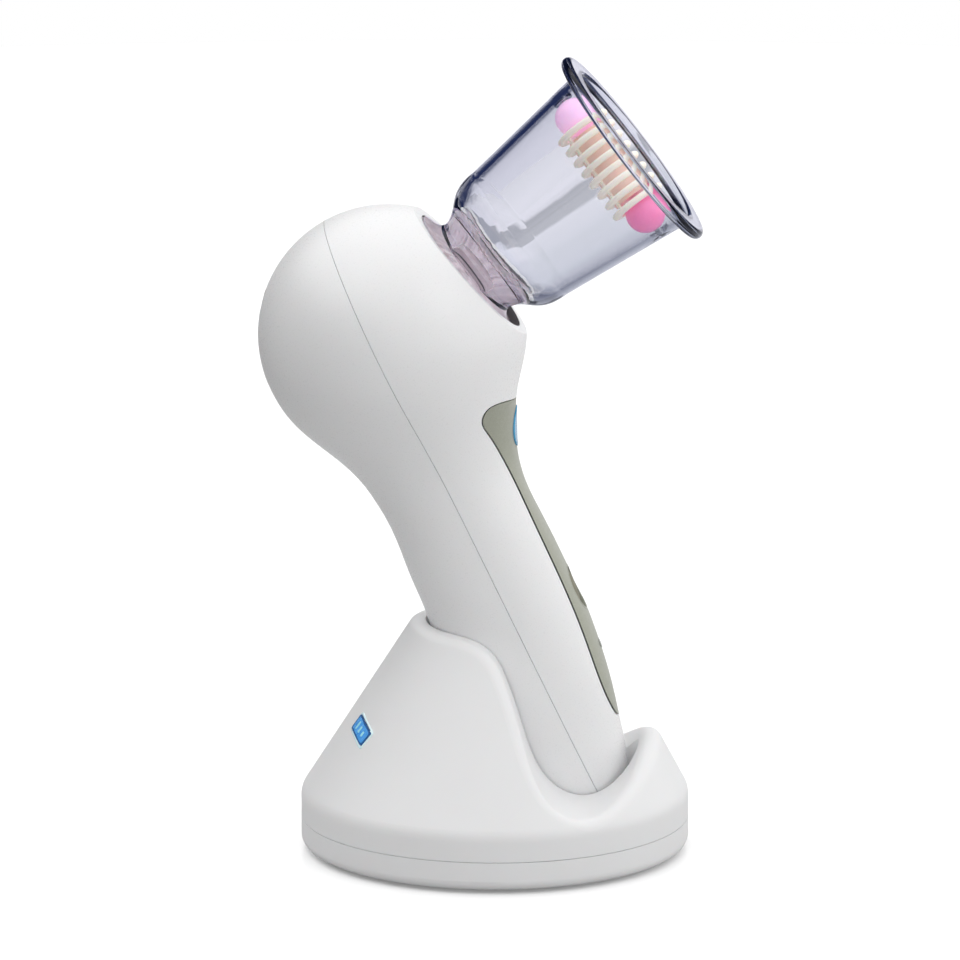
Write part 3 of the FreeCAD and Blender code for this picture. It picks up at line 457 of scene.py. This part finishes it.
def stand_badge_face():
    """A pale rim round the tile, a lighter field inside its dark border and three plain level bars."""
    spot = flat_spot("stand_badge")
    tree = surface_of("stand_badge", "stand_shell")
    half_u, half_v = spread_of("stand_badge", spot)
    pale = blue("badge_rim", (0.72, 0.94, 0.99), (0.80, 0.98, 1.0)).material
    field = blue("badge_field", (0.05, 0.33, 0.84), (0.10, 0.44, 0.98)).material
    light = blue("badge_bar", (0.34, 0.80, 0.97), (0.42, 0.88, 1.0)).material
    square = 9.0
    rim = ((0.75, -0.05), (0.72, 0.12), (0.55, 0.2), (0.2, 0.2), (0.05, 0.1), (0.05, -0.1))
    draped_ring("stand_badge_rim", spot, tree, (half_u, half_v, square), rim, "stand", pale)
    border = 0.7 * MM
    draped_plate("stand_badge_field", spot, tree, (half_u - border, half_v - border, square),
                 -0.1 * MM, 0.06 * MM, "stand", field)
    bar_half_width = 0.55 * MM
    bar_room = half_v - 1.1 * MM
    for k, share in enumerate((-0.45, 0.0, 0.45)):
        bar = Spot(spot.at(share * half_u, 0), spot.along, spot.out)
        shape = (bar_half_width, (0.5 + 0.16 * k) * bar_room, 5.0)
        draped_plate(f"stand_badge_bar_{k + 1}", bar, tree, shape, -0.05 * MM, 0.11 * MM, "stand", light,
                     steps=3)


def panel_badge_face():
    """Cyan enamel with a fine bead of the same colour round it."""
    spot = flat_spot("panel_badge")
    tree = surface_of("panel_badge")
    half_u, half_v = spread_of("panel_badge", spot)
    enamel = blue("badge_enamel", (0.02, 0.28, 0.54), (0.04, 0.36, 0.64)).material
    NODES["panel_badge"].data.materials[0] = enamel
    oval = 2.0
    bead = ((-0.1, -0.1), (-0.15, 0.05), (-0.5, 0.1), (-0.9, 0.05), (-0.95, -0.1))
    draped_ring("panel_badge_bead", spot, tree, (half_u, half_v, oval), bead, "handset", enamel)
    inset = 1.0 * MM
    draped_plate("panel_badge_enamel", spot, tree, (half_u - inset, half_v - inset, oval),
                 -0.1 * MM, 0.04 * MM, "handset", enamel)


def button_spot():
    """Middle of the power button on the panel: along the grip, and out of the panel."""
    out = -Vector(joint("power_button_press")["axis"])
    grip = Vector(joint("handset_lift")["axis"])
    points = points_of("power_button")
    middle = sum(points, Vector()) / len(points)
    along = [(p - middle).dot(grip) for p in points]
    top = max(p.dot(out) for p in points)
    origin = middle + grip * (max(along) + min(along)) / 2
    origin.y = 0.0
    return Spot(origin + out * (top - origin.dot(out)), grip, out)


def button_bezel():
    """A low bead on the panel round the power button's opening."""
    opening = (7.2 * MM, 6.5 * MM, 2.0)
    bead = ((0.12, -0.3), (0.12, 0.02), (0.25, 0.08), (0.5, 0.1), (0.75, 0.05), (0.85, -0.1))
    draped_ring("button_bezel", button_spot(), surface_of("control_panel"), opening, bead, "handset",
                PAINTS["panel_champagne"])


def top_of_wall(tree, centre, axis, ray, reach):
    """How far along the axis the mouth's wall is still within reach of it, found by halving."""
    low, high = 0.0, 25 * MM
    for _ in range(18):
        middle = (low + high) / 2
        if tree.ray_cast(centre + axis * middle, ray, reach)[0] is None:
            high = middle
        else:
            low = middle
    return low


def mouth_painted_shade():
    """A dark ring on the wall of the head's mouth, from the socket ring up to the shell's edge: painted
    shade for the recess wall in shadow.
    """
    inner, outer = 22.95 * MM, 23.27 * MM
    wall_reach = 24.2 * MM
    foot = 0.02 * MM            # above the socket ring
    gap = 0.1 * MM              # below the shell's edge
    least = 0.05 * MM           # the lowest that the dark ring's top may be
    count = 96
    axis = Vector(joint("cup_pull")["axis"])
    centre = Vector(joint("roller_spin")["pos_m"])
    centre += axis * (seat_of_cup(axis) - centre.dot(axis))
    side = Vector((0, 1, 0))
    up = axis.cross(side)
    tree = surface_of("front_shell")
    angles = [2 * math.pi * i / count for i in range(count)]
    rays = [side * math.cos(angle) + up * math.sin(angle) for angle in angles]
    tops = [max(top_of_wall(tree, centre, axis, ray, wall_reach) - gap, least) for ray in rays]
    feet = [foot] * count
    verts = [centre + ray * radius + axis * lift
             for radius, lifts in ((outer, feet), (outer, tops), (inner, tops), (inner, feet))
             for ray, lift in zip(rays, lifts)]
    # Near-black paint: painted shade of the shadowed recess.
    painted_shade_ring = moulded("painted_shade_ring", (0.035, 0.032, 0.034), 0.5, tone=0.1).material
    make("mouth_painted_shade", verts, loops_faces(count, 4, True), "handset", painted_shade_ring)


def roller_knobs():
    """The upper knob gets a paler copy of the knob pink with a stronger painted glow: painted light that
    makes it look more lit than the lower one.
    """
    # Painted light: a lit copy of the one knob pink, with a stronger painted glow.
    pale = gel("knob_painted_light", (1.00, 0.62, 0.92), 0.25, 0.28)
    NODES["roller_knob_upper"].data.materials[0] = pale.material


def details():
    stand_badge_face()
    panel_badge_face()
    button_bezel()
    mouth_painted_shade()
    roller_knobs()


# ---------------------------------------------------------------- stage
def stage():
    """A round floor.  The camera sees it white, clear plastic shows what floor_behind() gives, and it
    lights the object like a grey floor that is darker on the left."""
    radius, count = 1.5, 96
    angles = [2 * math.pi * i / count for i in range(count)]
    rim = [(radius * math.cos(angle), radius * math.sin(angle), 0) for angle in angles]
    mesh = bpy.data.meshes.new("floor")
    mesh.from_pydata(rim, [], [tuple(range(count))])
    floor = bpy.data.objects.new("floor", mesh)
    bpy.context.scene.collection.objects.link(floor)
    paint = Paint("floor", Roughness=0.08, Emission_Color=rgb(1, 1, 1))
    direct, through = paint.seen()
    left, right = -0.35, -0.08
    grey = paint.mix(paint.remap(paint.split()["X"], 0.0, 1.0, left, right),
                     rgb(0.22, 0.22, 0.22), rgb(0.58, 0.58, 0.58))
    plain = paint.mix(direct, grey, rgb(0.95, 0.95, 0.95))
    paint.wire("Base Color", paint.mix(through, plain, floor_behind(paint)))
    paint.wire("Emission Strength", paint.remap(direct, 0.0, 0.2))
    floor.data.materials.append(paint.material)


def floor_behind(paint):
    """The floor as clear plastic shows it: dark close to the object, which is painted shade, and far to its
    sides, and pale behind it, where a narrow grey card lies: a painted grey strip that draws a dark streak
    in the clear plastic."""
    shade, blur = 0.09, 0.008               # widths of the shade to the card's right and of its soft edges
    side_start, side_end = 0.25, 0.45
    near, far = 0.12, 0.5
    place = paint.split()
    lean = paint.math("MULTIPLY_ADD", place["Y"], -CARD_LEAN, place["X"])
    past_card = paint.remap(lean, 0.0, 1.0, CARD_X, CARD_X + shade)
    pale = paint.mix(past_card, rgb(0.80, 0.80, 0.90), rgb(0.58, 0.60, 0.68))
    off_card = paint.math("ABSOLUTE", paint.math("SUBTRACT", lean, CARD_X))
    beyond = paint.remap(off_card, 0.0, 1.0, CARD_HALF, CARD_HALF + blur)
    pale = paint.mix(beyond, rgb(0.36, 0.37, 0.43), pale)
    aside = paint.remap(paint.math("ABSOLUTE", place["X"]), 0.0, 1.0, side_start, side_end)
    pale = paint.mix(aside, pale, rgb(0.03, 0.04, 0.10))
    # Painted shade: darker close to the object.
    span = paint.add("VectorMath", operation="LENGTH", Vector=paint.place).outputs["Value"]
    return paint.mix(paint.remap(span, 0.0, 1.0, near, far), rgb(0.10, 0.11, 0.17), pale)


def key_lamp():
    """A faint lamp high in front on the right."""
    data = bpy.data.lights.new("key", "AREA")
    data.shape = "RECTANGLE"
    data.size = data.size_y = 0.8
    data.energy = 1.2
    lamp = bpy.data.objects.new("key", data)
    lamp.location = (1.1, -0.9, 1.2)
    lamp.rotation_euler = (VIEW_CENTRE - lamp.location).to_track_quat("-Z", "Y").to_euler()
    bpy.context.scene.collection.objects.link(lamp)


class World(Tree):
    """The studio round the object, as a function of direction."""

    def __init__(self):
        world = bpy.data.worlds.new("studio")
        bpy.context.scene.world = world
        super().__init__(world)
        self.background = self.find("BACKGROUND")
        self.direction = self.add("SeparateXYZ", Vector=self.add("TexCoord").outputs["Generated"]).outputs


def surroundings():
    """White where the camera sees it.  Clear plastic sees dark cards above the horizon and to both sides,
    as in a product studio, which gives it dark edges.  The soft light on the rest comes more from the left
    above and more from the right lower down, and it is a little weaker from straight in front and behind."""
    left, right = -0.9, 0.6
    world = World()
    across = world.direction["X"]
    height = world.direction["Z"]
    front = world.slope(world.math("ABSOLUTE", world.direction["Y"]), 0.30, 0.95, 1.0, 0.80)
    low_light = world.math("MULTIPLY", front, world.slope(across, left, right, 0.10, 1.34))
    high_light = world.math("MULTIPLY", front, world.slope(across, left, right, 2.05, 1.02))
    soft = world.mix(world.slope(height, 0.25, 0.75), low_light, high_light)
    beside = world.slope(world.math("ABSOLUTE", across), 0.22, 0.42)
    dark = world.math("MAXIMUM", world.slope(height, -0.03, 0.06), beside)
    dark = world.math("MULTIPLY", dark, world.slope(height, 0.55, 0.80, 1.0, 0.0))
    cards = world.mix(dark, rgb(0.80, 0.80, 0.90), rgb(0.02, 0.03, 0.09))
    direct, through = world.seen()
    plain = world.mix(direct, soft, rgb(1, 1, 1))
    world.put(world.background.inputs["Color"], world.mix(through, plain, cards))


def camera():
    """A long lens, so that the picture has next to no perspective."""
    data = bpy.data.cameras.new("camera")
    data.lens = LENS
    data.sensor_width = SENSOR
    data.clip_end = 50.0
    distance = VIEW_WIDTH * LENS / SENSOR
    rise = math.radians(ELEVATION)
    place = VIEW_CENTRE + Vector((0, -math.cos(rise), math.sin(rise))) * distance
    viewer = bpy.data.objects.new("camera", data)
    viewer.location = place
    viewer.rotation_euler = (VIEW_CENTRE - place).to_track_quat("-Z", "Y").to_euler()
    bpy.context.scene.collection.objects.link(viewer)
    bpy.context.scene.camera = viewer


PAINTS = paints()
camera()
surroundings()
key_lamp()
stage()
dress_cad()
details()
bpy.context.scene.view_settings.view_transform = "Standard"
